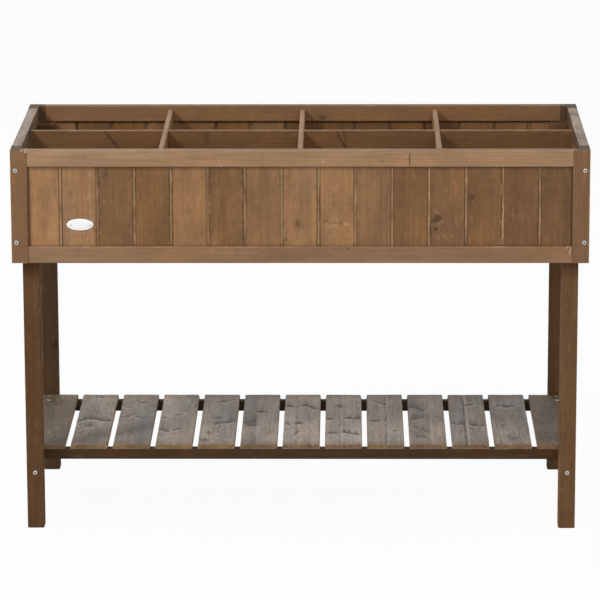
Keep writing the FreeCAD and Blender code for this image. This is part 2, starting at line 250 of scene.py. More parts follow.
class Fir(Shader):
    """Stained fir. The first of the three axes runs with the grain, the last through the board."""

    def __init__(self, name, axes, raw):
        super().__init__(bpy.data.materials.new(name))
        self.place = self.node("TexCoord").outputs["Object"]
        self.axes = axes
        self.raw = raw
        local = self.vector("SUBTRACT", self.place, self.own("middle", "Vector"))
        self.seed = self.own("seed", "Fac")
        self.along, self.across, self.through = self.in_grain(local)
        self.half = self.in_grain(self.own("half", "Vector"))
        shift = self.times(self.seed, shift_per_seed)
        moved = self.plus(self.along, shift)
        self.grain = self.join(moved, self.across, self.through)
        normal = self.node("NewGeometry").outputs["True Normal"]
        self.facing = self.in_grain(self.vector("ABSOLUTE", normal))
        # Top faces take the piece's top colour: partly painted sheen on the side rims, painted light,
        # sheen and shade on the slats
        is_top = self.rise(self.split(normal)[2], 0.6, 0.9)
        self.tone = self.blend(is_top, self.own("tone", "Color"), self.own("top", "Color"))

    def in_grain(self, vector):
        parts = dict(zip("XYZ", self.split(vector)))
        return [parts[axis] for axis in self.axes]

    def fibres(self, along, across, detail=2.0, roughness=0.5):
        """Noise with so many waves to a metre along the grain and across it."""
        scaled = self.vector("MULTIPLY", self.grain, (along, across, across))
        return self.noise(scaled, detail, roughness)

    def spread(self, noise_value, amount):
        """Noise about a half turned into a length about 0."""
        return self.times(self.math("SUBTRACT", noise_value, 0.5), amount)

    def knot_distance(self, knots, density):
        """Distance from the nearest knot, in that knot's radii."""
        flat = dict(zip(self.axes, (knot_stretch, 1.0, 0.0)))
        flat = tuple(flat[axis] for axis in "XYZ")
        cells = self.vector("MULTIPLY", self.grain, (*knot_cells, 0.0))
        found = self.node("TexVoronoi", {"Vector": cells, "Scale": 1.0}, voronoi_dimensions="2D")
        chance, size = self.split(found.outputs["Color"])[:2]
        away = self.vector("SUBTRACT", cells, found.outputs["Position"])
        cell_size = (knot_stretch / knot_cells[0], 1 / knot_cells[1], 0.0)
        away = self.vector("LENGTH", self.vector("MULTIPLY", away, cell_size))
        radius = self.math("MULTIPLY_ADD", size, knot_spread, knot_least)
        nearest = self.math("DIVIDE", away, radius)
        absent = self.math("GREATER_THAN", chance, density)
        nearest = self.math("MULTIPLY_ADD", absent, no_knot, nearest)
        for centre, radius in knots:
            away = self.vector("MULTIPLY", self.vector("SUBTRACT", self.place, centre), flat)
            away = self.math("DIVIDE", self.vector("LENGTH", away), radius)
            nearest = self.math("MINIMUM", nearest, away)
        ragged = self.noise(self.vector("MULTIPLY", self.place, (150, 150, 150)))
        return self.plus(nearest, self.spread(ragged, 0.6))

    def bell(self, distance, width):
        """1 at no distance, falling to 0 over a few widths."""
        scaled = self.math("DIVIDE", distance, width)
        squared = self.times(scaled, scaled)
        return self.math("EXPONENT", self.times(squared, -1.0))

    def late_wood(self, knot):
        """Dark late wood of the growth rings about a pith beside the board."""
        pick = self.node("TexWhiteNoise", {"W": self.seed}, noise_dimensions="1D").outputs["Color"]
        side, deep, lean = self.split(pick)
        stretch = self.times(self.split(self.grain)[0], 2.5)
        wander = self.noise(self.join(stretch, 0.5, 0.5))
        from_side = self.plus(self.across, self.spread(side, pith_aside))
        from_side = self.plus(from_side, self.spread(wander, pith_wander))
        deep = self.math("MULTIPLY_ADD", deep, pith_spread, pith_least)
        from_deep = self.plus(self.through, deep)
        leaning = self.times(self.along, self.spread(lean, pith_lean))
        from_deep = self.plus(from_deep, leaning)
        radius = self.vector("LENGTH", self.join(from_side, from_deep, 0.0))
        radius = self.plus(radius, self.spread(self.fibres(4, 22), ring_ragged))
        radius = self.math("MULTIPLY_ADD", self.bell(knot, 2.2), ring_width * 2.5, radius)
        rings = self.math("DIVIDE", radius, ring_width)
        share = self.math("FRACT", rings)
        late = self.math("SUBTRACT", self.rise(share, 0.3, 0.88), self.rise(share, 0.88, 1.0))
        number = self.math("MULTIPLY_ADD", self.seed, 31.0, self.math("FLOOR", rings))
        strength = self.node("TexWhiteNoise", {"W": number}, noise_dimensions="1D")
        strength = self.math("MULTIPLY_ADD", strength.outputs["Value"], 0.7, 0.3)
        return self.times(late, strength)

    def arris_distance(self):
        """Distance from the nearest edge of the board, over its faces."""
        local = self.join(self.along, self.across, self.through)
        inside = self.vector("SUBTRACT", self.join(*self.half), self.vector("ABSOLUTE", local))
        end, edge, face = self.split(inside)
        low = self.math("MINIMUM", end, edge)
        high = self.math("MAXIMUM", end, edge)
        return self.math("MAXIMUM", low, self.math("MINIMUM", high, face))

    def streak(self, centre, width, reach, lean):
        """1 on a short ragged line that leans from upright along X, 0 away from it."""
        away_x, away_y, away_z = self.split(self.vector("SUBTRACT", self.place, centre))
        ragged = self.noise(self.vector("MULTIPLY", self.place, (200, 200, 80)), 3.0)
        away_x = self.math("MULTIPLY_ADD", away_z, -lean, away_x)
        away_x = self.plus(self.math("ABSOLUTE", away_x), self.spread(ragged, width * 1.5))
        inside = self.rise(away_x, width * 0.4, width, 1.0, 0.0)
        away_z = self.math("ABSOLUTE", away_z)
        inside = self.times(inside, self.rise(away_z, reach * 0.5, reach, 1.0, 0.0))
        away_y = self.math("ABSOLUTE", away_y)
        return self.times(inside, self.rise(away_y, board_depth, 2 * board_depth, 1.0, 0.0))

    def scuffed(self):
        """The stain worn thin."""
        raw_share = tuple(0.45 * part for part in self.raw)
        return self.vector("MULTIPLY_ADD", self.tone, (0.6, 0.6, 0.6), raw_share)

    def wear_edges(self, colour, wear):
        """Edges rubbed pale, with nicks."""
        nicks = self.fibres(24, 55, 3.0, 0.6)
        reach = self.rise(nicks, 0.5, 0.74, 0.0, nick_reach * wear)
        reach = self.plus(reach, worn_reach)
        worn = self.math("DIVIDE", self.arris_distance(), reach)
        worn = self.rise(worn, 0.5, 1.05, 0.8, 0.0)
        worn = self.times(worn, self.rise(self.fibres(6, 20), 0.35, 0.6, 0.2, 1.0))
        return self.blend(worn, colour, self.scuffed())

    def joint_edges(self, colour):
        """Edges of a tongued plank: pooled stain and painted shade along them, torn fibres, and a bare
        tongue lightened as painted light.
        """
        edge = self.math("SUBTRACT", self.half[1], self.math("ABSOLUTE", self.across))
        is_high = self.math("GREATER_THAN", self.across, 0.0)
        pooled, torn = (
            self.rise(is_high, 0.0, 1.0, self.own(kind + "_low", "Fac"), self.own(kind + "_high", "Fac"))
            for kind in ("pooled", "torn")
        )
        # Pooled stain and painted shade darken the plank along its edges
        seam_shade = self.plus(edge, self.spread(self.fibres(25, 60), seam_shade_ragged))
        seam_shade = self.rise(seam_shade, *seam_shade_limits, pooled, 0.0)
        colour = self.blend(seam_shade, colour, (*seam_stain_and_shade, 1))
        specks = self.rise(self.fibres(75, 150, 3.0, 0.6), 0.54, 0.62)
        specks = self.times(specks, self.rise(edge, *speck_limits, 0.65, 0.0))
        specks = self.times(specks, torn)
        colour = self.dim(colour, self.math("SUBTRACT", 1.0, specks))
        chips = self.rise(self.fibres(45, 110, 3.0, 0.6), 0.56, 0.66)
        chips = self.times(chips, self.rise(edge, *pale_limits, 0.9, 0.0))
        chips = self.times(chips, torn)
        colour = self.blend(chips, colour, self.scuffed())
        # The bare tongue, lightened as painted light in its groove
        from_middle = self.math("ABSOLUTE", self.through)
        tongue = self.rise(from_middle, *tongue_limits, 1.0, 0.0)
        tongue = self.times(tongue, self.own("bare_tongue", "Fac"))
        patches = self.rise(self.fibres(14, 5), 0.3, 0.6, 0.35, 1.05)
        tongue = self.times(tongue, patches)
        return self.blend(tongue, colour, (*lit_tongue_wood, 1))

    def soaked_ends(self, colour, share):
        """Ends that have drawn in more of the stain."""
        from_end = self.math("SUBTRACT", self.half[0], self.math("ABSOLUTE", self.along))
        from_end = self.plus(from_end, self.spread(self.fibres(9, 40), soak_ragged))
        soaked = self.rise(from_end, 0.0, soak_reach, share, 0.0)
        return self.blend(soaked, colour, self.dim(self.own("end", "Color"), 0.7))

    def painted_marks(self, colour, fine, scar_and_shade):
        """Scratches, red streaks and dark scars that are painted on the mesh, with the painted shade and
        painted highlights set there too.
        """
        # Bare marks include painted highlights, dark marks include painted shade and shadow
        marks = (
            ("bare", 0.5, (0.2, 0.95, 0.0, 0.8), self.scuffed()),
            ("red", 0.4, (0.25, 0.9, 0.0, 0.7), (*rust_red, 1)),
            ("dark", 0.5, (0.12, 1.05, 0.0, 0.85), (*scar_and_shade, 1)),
        )
        for name, ragged, limits, tint in marks:
            share = self.plus(self.painted(name), self.spread(fine, ragged))
            colour = self.blend(self.rise(share, *limits), colour, tint)
        return colour


def make_fir(
    name, axes, knots=(), density=0.04, wear=0.5, rough=0.6, gloss=0.3, contrast=0.85, mottle=1.0,
    sawn=1.0, pits=0.2, soak=0.0, raw=raw_wood, tongued=False, scar_and_shade=None, streaks=(), streak_y=front_y,
):
    """Stained fir with rings, fibres, blotches of stain, knots, end grain and worn edges."""
    fir = Fir(name, axes, raw)
    knot = fir.knot_distance(knots, density)
    late = fir.late_wood(knot)
    fine = fir.fibres(7, 210, 4.0, 0.6)
    patterns = (
        (fine, 0.10 * contrast),
        (fir.fibres(1.6, 34, 3.0), 0.11 * contrast),
        (fir.fibres(9, 22, 3.0), 0.10 * mottle),
        (fir.fibres(60, 75, 3.0, 0.6), 0.06 * mottle),
        (fir.fibres(170, 9), 0.02 * sawn),
        (fir.fibres(12, 5), 0.02 * sawn),
    )
    shade = fir.math("MULTIPLY_ADD", late, -0.18 * contrast, 1.05)
    for pattern, swing in patterns:
        shade = fir.times(shade, fir.rise(pattern, 0.22, 0.78, 1 - swing, 1 + swing))
    halo = fir.math("MULTIPLY_ADD", fir.bell(knot, 2.4), -0.3, 1.0)
    shade = fir.times(shade, halo)
    end_grain = fir.rise(fir.facing[0], 0.8, 0.95)
    tone = fir.soaked_ends(fir.tone, soak) if soak else fir.tone
    colour = fir.blend(end_grain, tone, fir.own("end", "Color"))
    colour = fir.dim(colour, shade)
    warmth = fir.spread(fir.fibres(2.5, 12, 2.0), 0.3)
    warm = fir.plus(1.0, warmth)
    cool = fir.math("MULTIPLY_ADD", warmth, -1.2, 1.0)
    colour = fir.vector("MULTIPLY", colour, fir.join(warm, 1.0, cool))

    pit = fir.rise(fir.fibres(40, 170), 0.60, 0.69, 1.0, 1.0 - 0.55 * pits)
    colour = fir.dim(colour, pit)
    fleck = fir.rise(fir.fibres(33, 140), 0.62, 0.71, 0.0, 0.6 * pits)
    colour = fir.blend(fleck, colour, fir.scuffed())
    core = fir.rise(knot, 0.65, 1.15, 1.0, 0.0)
    whorl = fir.math("SINE", fir.times(knot, 13.0))
    heart = fir.dim(fir.tone, fir.math("MULTIPLY_ADD", whorl, 0.1, 0.5))
    colour = fir.blend(core, colour, heart)

    colour = fir.joint_edges(colour) if tongued else fir.wear_edges(colour, wear)
    if scar_and_shade:
        colour = fir.painted_marks(colour, fine, scar_and_shade)
    for x, z, width, reach, lean, strength, tint in streaks:
        share = fir.times(fir.streak((x, streak_y, z), width, reach, lean), strength)
        colour = fir.blend(share, colour, (*tint, 1))

    dull = fir.rise(fine, 0.2, 0.8, rough + 0.1, rough - 0.08)
    height = fir.math("MULTIPLY_ADD", late, 0.6, fine)
    height = fir.math("MULTIPLY_ADD", core, 0.5, height)
    bump = fir.node("Bump", {"Strength": 0.35, "Distance": fibre_height, "Height": height})
    fir.fill(fir.surface, {
        "Base Color": colour,
        "Specular IOR Level": gloss,
        "Roughness": fir.math("MULTIPLY_ADD", end_grain, 0.3, dull),
        "Normal": bump.outputs[0],
    })
    return fir.owner


def make_mottled(name, waves, tints, roughs, metallic):
    """Steel or enamel, grey and rough between two values, with so many waves to a metre."""
    shader = Shader(bpy.data.materials.new(name))
    place = shader.node("TexCoord").outputs["Object"]
    mottle = shader.noise(shader.vector("MULTIPLY", place, (waves, waves, waves)), 3.0)
    tint = shader.rise(mottle, 0.3, 0.7, *tints)
    shader.fill(shader.surface, {
        "Base Color": shader.join(tint, tint, tint),
        "Metallic": metallic,
        "Roughness": shader.rise(mottle, 0.3, 0.7, *roughs),
    })
    return shader.owner


def link(made):
    bpy.context.scene.collection.objects.link(made)
    return made


def paint(made, material, stain, top, end, seed, low, high, share=1.0):
    """Gives a board its material and what that reads: its stains, a top colour that on rims and slats is
    partly painted light, sheen and shade, its seed and its box.
    """
    made.data.materials.clear()
    made.data.materials.append(material)
    made["tone"] = stains_and_shades[stain]
    made["top"] = tuple(share * part for part in stains_and_shades[top])
    made["end"] = stains_and_shades[end]
    made["seed"] = seed
    made["middle"] = tuple((low + high) / 2)
    made["half"] = tuple((high - low) / 2)


def seat(piece, node):
    """Sets a new piece in the place of a CAD node of the bed."""
    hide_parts(node)
    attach(piece, "bed")


def islands_of(node):
    """The separate solids of a CAD node as welded meshes of flat faces, in order along X, then Y."""
    whole = bmesh.new()
    whole.from_mesh(nodes[node].data)
    bmesh.ops.remove_doubles(whole, verts=whole.verts, dist=weld)
    unseen = set(whole.verts)
    found = []
    while unseen:
        newest = {unseen.pop()}
        island = set(newest)
        while newest:
            newest = {e.other_vert(v) for v in newest for e in v.link_edges} & unseen
            unseen -= newest
            island |= newest
        found.append(copy_of(island))
    whole.free()
    return sorted(found, key=lambda made: tuple(round(part, 4) for part in corners_of(made)[0]))


def copy_of(island):
    """One solid as a mesh of its own, its flat faces joined up."""
    made = bmesh.new()
    copies = {v: made.verts.new(v.co) for v in sorted(island, key=lambda v: v.index)}
    faces = {f for v in island for f in v.link_faces}
    for face in sorted(faces, key=lambda f: f.index):
        made.faces.new([copies[v] for v in face.verts])
    made.normal_update()
    bmesh.ops.dissolve_limit(made, angle_limit=0.02, verts=made.verts, edges=made.edges)
    made.normal_update()
    return made


def corners_of(made):
    places = [v.co for v in made.verts]
    return Vector(map(min, *places)), Vector(map(max, *places))


def outline_of(made, axis):
    """The end face of a board that looks against the axis, as points round it."""
    ends = [f for f in made.faces if f.normal[axis] < -0.99]
    end = max(ends, key=lambda f: f.calc_area())
    return [v.co.copy() for v in end.verts]


def refine(outline, axis, fine_side, fine, coarse):
    """More points round an outline, and the way inwards at each."""
    against = Vector((0, 0, 0))
    against[axis] = -1
    points = []
    ways = []
    for start, end in zip(outline, outline[1:] + outline[:1]):
        way = against.cross(end - start).normalized()
        step = fine if way.dot(fine_side) < -0.9 else coarse
        count = max(1, round((end - start).length / step))
        for i in range(count):
            points.append(start.lerp(end, i / count))
            ways.append(way)
    inward = [(ways[i - 1] + ways[i]).normalized() for i in range(len(ways))]
    return points, inward


def sweep(name, outline, axis, length, fine_side, fine, coarse, relief):
    """A board: its outline carried along the grain, each point moved inwards and marked."""
    points, inward = refine(outline, axis, fine_side, fine, coarse)
    levels = max(1, round(length / fine))
    count = len(points)
    places = []
    marks = {"dark": [], "bare": [], "red": []}
    for level in range(levels + 1):
        for point, way in zip(points, inward):
            place = point.copy()
            place[axis] += length * level / levels
            depth, found = relief(place, way)
            places.append(place + way * max(0.0, depth))
            for kind, values in marks.items():
                values.append(found.get(kind, 0.0))
    faces = [list(range(count)), list(range(levels * count, (levels + 1) * count))[::-1]]
    for level in range(levels):
        for i in range(count):
            here = level * count + i
            beside = level * count + (i + 1) % count
            faces.append([beside, here, here + count, beside + count])
    mesh = bpy.data.meshes.new(name)
    mesh.from_pydata(places, [], faces)
    mesh.shade_smooth()
    mesh.set_sharp_from_angle(angle=board_sharp)
    for kind, values in marks.items():
        mesh.attributes.new(kind, "FLOAT", "POINT").data.foreach_set("value", values)
    return link(bpy.data.objects.new(name, mesh))


def hump(distance, width):
    """1 at no distance, falling to 0 over a few widths."""
    return math.exp(-((distance / width) ** 2))


# Planks

plank_fine = 0.0025
plank_coarse = 0.012
plank_wave = 0.0002
chip_depth = 0.0025
scratch_depth = 0.0003
dish_depth = 0.0006
mark_bend = 0.005
least_mark = 0.02
# Front planks from the left: the stain, how bare the tongue at the right edge is, in wood lightened as
# painted light, how much pooled stain and painted shade darken the left and right edge, and how far the
# fibres are torn there
front_planks = (
    ("honey", 0.9, (0, 0.55), (0, 0.2)),
    ("tan", 0.6, (0.85, 0.5), (0.2, 0.3)),
    ("russet", 0.7, (0.4, 0.45), (1, 0.4)),
    ("russet", 0.65, (0.6, 0.5), (0.3, 0.7)),
    ("ginger", 0.6, (0.95, 0.3), (0.2, 0.2)),
    ("russet", 0.85, (0.4, 0.45), (0.8, 1)),
    ("brown", 0.95, (0.6, 0.3), (0.2, 0.2)),
    ("tan", 0.75, (0.65, 0.7), (0.4, 0.3)),
    ("honey", 0.9, (0.95, 0.45), (0.2, 0.5)),
    ("brown", 0.8, (0.4, 0.5), (0.3, 0.1)),
    ("russet", 0.95, (0.6, 0.6), (0.1, 0.1)),
    ("umber", 0.9, (0.35, 0.9), (0.6, 0.1)),
    ("russet", 0.9, (0.25, 0.85), (0.1, 1)),
    ("walnut", 0.8, (0.2, 0.7), (0.2, 0.4)),
    ("walnut", 0.0, (0.55, 0), (0.2, 0)),
)
# Stains of the other planks; the right side's darker ones are painted shade
other_plank_stains = ("amber", "amber", "umber", "brown", "walnut")
right_plank_shaded_stains = ("umber", "umber", "walnut", "chestnut", "walnut")
# Knots on the front planks, as (centre, radius)
front_knots = (
    ((0.365, 0, 0.738), 0.0050),
    ((-0.005, 0, 0.679), 0.0045),
    ((-0.412, 0, 0.787), 0.0030),
)
# Streaks and scratches on them, with painted shadow lines along the stiles, as (start X, Z, end X, Z,
# half width, weight)
front_marks = {
    "red": (
        (0.331, 0.744, 0.331, 0.768, 0.005, 0.9), (-0.006, 0.735, -0.004, 0.737, 0.003, 0.9),
        (0.331, 0.641, 0.347, 0.64, 0.004, 0.6),
    ),
    "bare": (
        (-0.445, 0.631, -0.447, 0.804, 0.006, 0.6), (0.044, 0.696, 0.062, 0.697, 0.003, 0.75),
        (0.077, 0.696, 0.088, 0.695, 0.003, 0.7), (0.077, 0.687, 0.093, 0.686, 0.003, 0.8),
        (0.094, 0.679, 0.109, 0.678, 0.004, 1.0), (0.045, 0.675, 0.056, 0.674, 0.004, 0.6),
        (0.058, 0.671, 0.075, 0.676, 0.004, 0.7), (0.0392, 0.683, 0.0392, 0.691, 0.003, 1.0),
        (0.401, 0.787, 0.417, 0.781, 0.005, 0.45), (0.28, 0.674, 0.293, 0.676, 0.003, 0.9),
        (0.293, 0.676, 0.306, 0.694, 0.003, 0.8), (0.287, 0.71, 0.298, 0.699, 0.004, 0.9),
        (0.298, 0.655, 0.331, 0.65, 0.012, 0.45), (-0.433, 0.765, -0.431, 0.8, 0.004, 0.7),
        (-0.126, 0.64, -0.122, 0.79, 0.004, 0.4), (0.1185, 0.742, 0.1185, 0.756, 0.003, 1.0),
        (0.4285, 0.744, 0.4285, 0.763, 0.0025, 0.9),
    ),
    "dark": (
        (0.043, 0.692, 0.06, 0.693, 0.003, 0.65), (0.052, 0.686, 0.076, 0.682, 0.004, 0.55),
        (0.076, 0.682, 0.092, 0.679, 0.004, 0.55), (0.111, 0.678, 0.113, 0.678, 0.003, 0.9),
        (0.06, 0.666, 0.074, 0.669, 0.003, 0.5), (0.398, 0.78, 0.412, 0.774, 0.005, 0.3),
        (0.281, 0.684, 0.305, 0.698, 0.008, 0.95), (0.28, 0.672, 0.292, 0.685, 0.007, 0.9),
        (0.29, 0.686, 0.303, 0.692, 0.003, 0.75), (0.281, 0.669, 0.298, 0.664, 0.006, 0.8),
        (0.301, 0.692, 0.31, 0.668, 0.006, 0.5), (-0.031, 0.628, -0.03, 0.662, 0.004, 0.7),
        (0.4285, 0.7, 0.4285, 0.713, 0.0025, 0.8), (0.277, 0.656, 0.277, 0.674, 0.003, 0.9),
        # Painted shadow lines along the inner edges of the stiles
        (-0.5775, 0.625, -0.5775, 0.81, 0.003, 1.0), (0.5775, 0.625, 0.5775, 0.81, 0.003, 1.0),
    ),
}
# Where shadow beside the rails is painted dark on the front planks
rail_shadow_levels = (0.6315, 0.8035)
rail_shadow_half = 0.003
# Streaks here and on other boards, as (X, Z, half width, reach, lean, strength, colour)
plank_streaks = ((0.029, 0.694, 0.008, 0.062, 0, 0.55, amber_wood),)


def segment_distance(u, v, mark):
    """Distance of a point from a straight mark between two points."""
    start_u, start_v, end_u, end_v = mark
    run_u = end_u - start_u
    run_v = end_v - start_v
    share = ((u - start_u) * run_u + (v - start_v) * run_v) / (run_u ** 2 + run_v ** 2)
    share = min(1.0, max(0.0, share))
    return math.hypot(u - start_u - share * run_u, v - start_v - share * run_v)


def plank_relief(across, seed, marks, knots):
    """Shallow waves along the fibres, chipped edges, dished knots and scratches of one plank, and on the
    front the painted shadow beside the rails.
    """

    def relief(place, way):
        u = place[across]
        v = place.z
        depth = plank_wave * (1 + noise((u * 45, v * 6, seed * 9)))
        found = {}
        if abs(way[across]) > 0.3:
            chip = noise((u * 40, v * 60, seed * 7))
            depth += max(0.0, chip - 0.15) * chip_depth
        if marks:
            # Painted shadow on the planks beside the top and bottom rails
            found["dark"] = 0.5 * max(hump(v - level, rail_shadow_half) for level in rail_shadow_levels)
        bend_u = u + mark_bend * noise((u * 50, v * 50, 3))
        bend_v = v + mark_bend * noise((u * 50, v * 50, 8))
        ragged = max(0.0, 0.7 + 1.1 * noise((u * 110, v * 110, 5)))
        for kind, rows in marks.items():
            for *mark, width, weight in rows:
                # Upright marks follow the grain, and the others are bent and ragged
                if mark[0] == mark[2]:
                    value = weight * hump(segment_distance(u, v, mark), width)
                else:
                    value = ragged * weight * hump(segment_distance(bend_u, bend_v, mark), width)
                if value > least_mark:
                    found[kind] = max(found.get(kind, 0.0), value)
                    depth += scratch_depth * value
        for centre, radius in knots:
            away = math.hypot(u - centre[0], (v - centre[2]) * knot_stretch) / radius
            depth += dish_depth * hump(away - 1, 0.5)
        return depth, found

    return relief


def plank_finish(panel, step, draw):
    """Stain, bare tongue lit as painted light, edges darkened by pooled stain and painted shade, and
    torn edges of one plank: set in front, drawn elsewhere.
    """
    if panel == "front":
        return front_planks[step]
    stain = draw.choice(right_plank_shaded_stains if panel == "right_side" else other_plank_stains)
    bare = draw.uniform(0.0, 0.4)
    return stain, bare, (0.5, 0.5), (draw.random() * 0.5, draw.random() * 0.5)


def make_planks(panel, axes, outside, material, draw):
    """The planks of one panel as pieces of their own, each with its stain and its own grain."""
    across = "XYZ".index(axes[1])
    through = "XYZ".index(axes[2])
    is_front = panel == "front"
    node = panel + "_planks"
    for step, solid in enumerate(islands_of(node)):
        low, high = corners_of(solid)
        middle = (low[through] + high[through]) / 2
        faced = [v.co[across] for v in solid.verts if abs(v.co[through] - middle) > face_limit]
        seed = draw.random() * 10
        marks = front_marks if is_front else {}
        knots = front_knots if is_front else ()
        knots = [k for k in knots if low.x < k[0][0] < high.x]
        plank = sweep(
            f"{panel}_plank_{step + 1:02d}", outline_of(solid, 2), 2, high.z - low.z,
            Vector(outside), plank_fine if is_front else 2 * plank_fine, plank_coarse,
            plank_relief(across, seed, marks, knots),
        )
        low[across] = min(faced)
        high[across] = max(faced)
        stain, bare, pooled, torn = plank_finish(panel, step, draw)
        paint(plank, material, stain, stain, "umber", seed, low, high)
        plank["bare_tongue"] = bare
        for side, edge in enumerate(("low", "high")):
            plank["pooled_" + edge] = float(pooled[side])
            plank["torn_" + edge] = float(torn[side])
        seat(plank, node)
        solid.free()


# Slats

slat_fine = 0.0025
slat_coarse = 0.02
slat_half = 0.0405
slat_sink = 0.0008
slat_wave = 0.0006
nick_depth = 0.002
hollow_depth = 0.0007
band_edge = 0.15
# Crease of a spike knot: its half widths, dark and hollow, its depth and how it wanders
crease_dark_half = 0.007
crease_half = 0.006
crease_depth = 0.0016
crease_wanders = (0.010, 0.007)
# The painted shade behind the crease, and the ridge before it with its painted highlight
crease_shade_off = 0.018
crease_shade_half = 0.024
ridge_highlight_off = 0.015
ridge_off = 0.014
ridge_half = 0.009
ridge_height = 0.0008
# Line of the pith and its pale edge
pith_wave = 0.002
pith_dark_half = 0.0028
pith_half = 0.003
pith_depth = 0.0006
pith_edge_off = 0.006
# Painted light and shade on the top of each slat: how much lighter or darker it is than its stain
slat_top_light = (1.0, 0.92, 0.9, 1.34, 1.31, 1.34, 1.8, 1.65, 1.37, 1.33, 1.1, 1.08, 1.0)
shaded_end_slats = (1, len(slat_top_light))
# Spike knots across each slat, as (start, Y, end, Y, weight), start and end in half widths
slat_spikes = {
    1: ((-0.6, 0.120, 0.4, 0.112, 0.4), (-0.9, 0.052, -0.2, 0.050, 0.35)),
    2: (
        (-0.95, -0.030, -0.4, 0.010, 0.9), (-0.5, 0.008, 0.95, -0.020, 1.3),
        (-1.0, -0.118, -0.45, -0.110, 0.5),
    ),
    3: (
        (-1.0, 0.008, -0.1, 0.042, 0.9), (-0.1, 0.030, 0.5, 0.004, 0.7),
        (-1.0, -0.135, -0.55, -0.118, 0.7), (-0.45, -0.110, 0.35, -0.120, 0.4),
    ),
    4: (
        (-0.95, -0.080, -0.35, -0.105, 0.9), (-0.25, -0.095, 0.3, -0.080, 0.5),
        (0.65, 0.105, 1.0, 0.112, 0.7), (-0.95, 0.010, -0.5, 0.004, 0.4),
    ),
    5: ((-0.35, -0.045, 0.9, -0.010, 1.0), (-0.25, 0.145, 0.85, 0.175, 0.8)),
    6: ((-0.15, 0.070, 0.5, 0.066, 0.5), (-0.9, -0.030, -0.2, -0.020, 0.5)),
    7: (
        (-1.0, 0.108, -0.4, 0.114, 0.9), (-0.05, 0.120, 1.0, 0.085, 1.1),
        (-1.0, -0.030, -0.62, -0.048, 0.7), (-0.3, -0.032, 0.05, -0.040, 0.6),
        (-0.65, -0.150, -0.1, -0.098, 0.7),
    ),
    8: (
        (-1.0, 0.000, -0.5, 0.002, 0.8), (0.05, 0.016, 1.0, -0.002, 1.0),
        (-0.95, -0.122, -0.3, -0.112, 0.7), (-0.1, -0.104, 0.9, -0.128, 0.9),
    ),
    9: ((-0.55, 0.150, 0.05, 0.130, 0.7), (-0.95, -0.018, -0.25, -0.010, 0.6)),
    10: (
        (-1.0, 0.102, -0.1, 0.080, 1.0), (-1.0, 0.000, -0.15, 0.020, 0.9),
        (-0.7, -0.072, 0.15, -0.106, 0.7), (-0.7, -0.148, -0.05, -0.146, 0.4),
    ),
    11: (
        (0.2, 0.124, 0.75, 0.130, 0.7), (-1.0, -0.040, -0.25, -0.038, 0.9),
        (0.05, -0.042, 1.0, -0.062, 1.0),
    ),
    12: ((-0.6, 0.115, 0.35, 0.110, 0.6), (0.2, -0.078, 0.6, -0.076, 0.3)),
    13: (
        (-0.8, 0.030, 0.6, 0.024, 0.5), (-0.6, 0.100, 0.9, 0.094, 0.4),
        (-0.5, -0.120, 0.8, -0.126, 0.5),
    ),
}
# Round knots, as (across in half widths, Y, radius)
slat_knots = {
    2: ((-0.23, -0.049, 0.008), (0.0, 0.195, 0.006)),
    3: ((0.2, 0.145, 0.006), (-0.5, 0.105, 0.005)),
    4: ((-0.05, 0.041, 0.006), (0.1, 0.150, 0.005)),
    5: ((-0.08, 0.013, 0.007), (-0.5, -0.116, 0.007), (-0.67, -0.172, 0.009)),
    6: ((-0.05, 0.068, 0.006), (-0.5, -0.045, 0.009)),
    7: ((-0.2, -0.030, 0.006),),
    8: ((-0.27, 0.115, 0.009),),
    9: ((0.0, 0.132, 0.005), (0.48, -0.095, 0.005)),
    11: ((0.11, 0.125, 0.006),),
    12: ((-0.26, 0.113, 0.006), (0.13, 0.113, 0.007), (-0.39, -0.051, 0.006), (0.0, -0.156, 0.014)),
}
# The pith where it comes to the top, as (across in half widths, weight)
slat_piths = {
    7: ((-0.3, 1.2),),
    8: ((-0.22, 1.2),),
    9: ((0.02, 1.3),),
    10: ((0.1, 1.2),),
    11: ((-0.2, 2.0),),
}
# Darker heartwood along a slat, as (start, end, weight), start and end in half widths
slat_bands = {3: ((0.1, 0.95, 0.3),), 6: ((-1.1, -0.1, 0.5),), 10: ((-1.1, 0.1, 0.4),)}
# Screws of the shelf, each in a slight hollow
shelf_screw_x = 0.576
shelf_screw_ys = (0.201, 0.165)
screw_hollow = 0.0012
head_radius = 0.00475


def spike_marks(spike, side, y, seed):
    """Dark crease of a spike knot, painted shade behind it and a painted highlight on the ridge before
    it.
    """
    start, start_y, end, end_y, weight = spike
    share = (side - start) / (end - start)
    if not -0.1 < share < 1.1:
        return 0.0, 0.0, 0.0
    fade = min(1.0, (share + 0.1) * 5, (1.1 - share) * 4)
    fade *= weight * max(0.2, 0.75 + noise((side * 5, seed, start_y * 90)))
    wander = crease_wanders[0] * noise((side * 2.2, seed, start_y * 40))
    wander += crease_wanders[1] * noise((side * 8, seed, start_y * 60))
    off = y - start_y - (end_y - start_y) * share - wander
    shade_and_light_cloud = 0.7 + 0.8 * noise((side * 7, y * 70, seed))
    # Painted shade behind the crease, and a painted highlight on the ridge before it
    dark = 1.6 * hump(off, crease_dark_half) + 0.8 * shade_and_light_cloud * hump(off - crease_shade_off, crease_shade_half)
    bare = 1.3 * shade_and_light_cloud * hump(off + ridge_highlight_off, ridge_half)
    depth = crease_depth * hump(off, crease_half) - ridge_height * hump(off + ridge_off, ridge_half)
    return fade * dark, fade * bare, fade * depth


